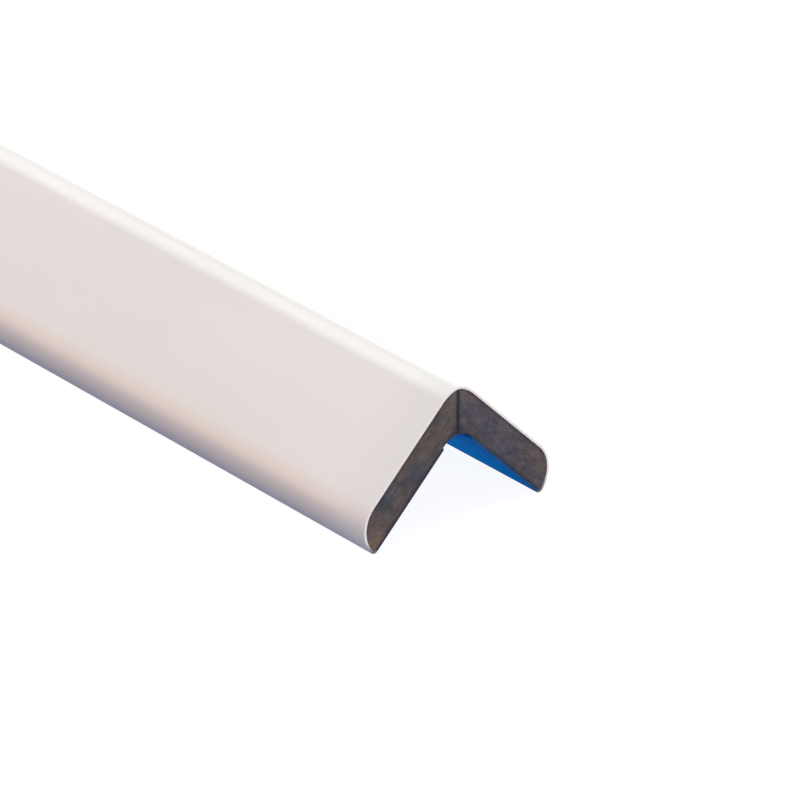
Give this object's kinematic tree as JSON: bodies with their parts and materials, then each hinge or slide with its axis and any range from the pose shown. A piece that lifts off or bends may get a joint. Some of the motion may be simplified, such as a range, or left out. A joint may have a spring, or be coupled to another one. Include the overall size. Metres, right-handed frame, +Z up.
{
  "type": "corner guard moulding",
  "caption": "Right-angled corner guard moulding: mitred fibreboard legs with rounded edges under one folded white skin, with blue backing strips on the wall side.",
  "frame": {"origin": "middle of the floor under the guard, at half its length and half its width", "axes": "+X along the length, towards the cut end that the picture shows, +Y across it towards the right leg, +Z up through the rounded corner"},
  "size_m": [1.2, 0.0358, 0.0226],
  "materials": {
    "white_skin": "satin",
    "fibreboard": "matte",
    "blue_backing": "satin"
  },
  "bodies": {
    "root": {"face_skin": "white_skin", "left_core_strip": "fibreboard", "right_core_strip": "fibreboard", "left_backing_strip": "blue_backing", "right_backing_strip": "blue_backing"}
  },
  "joints": []
}
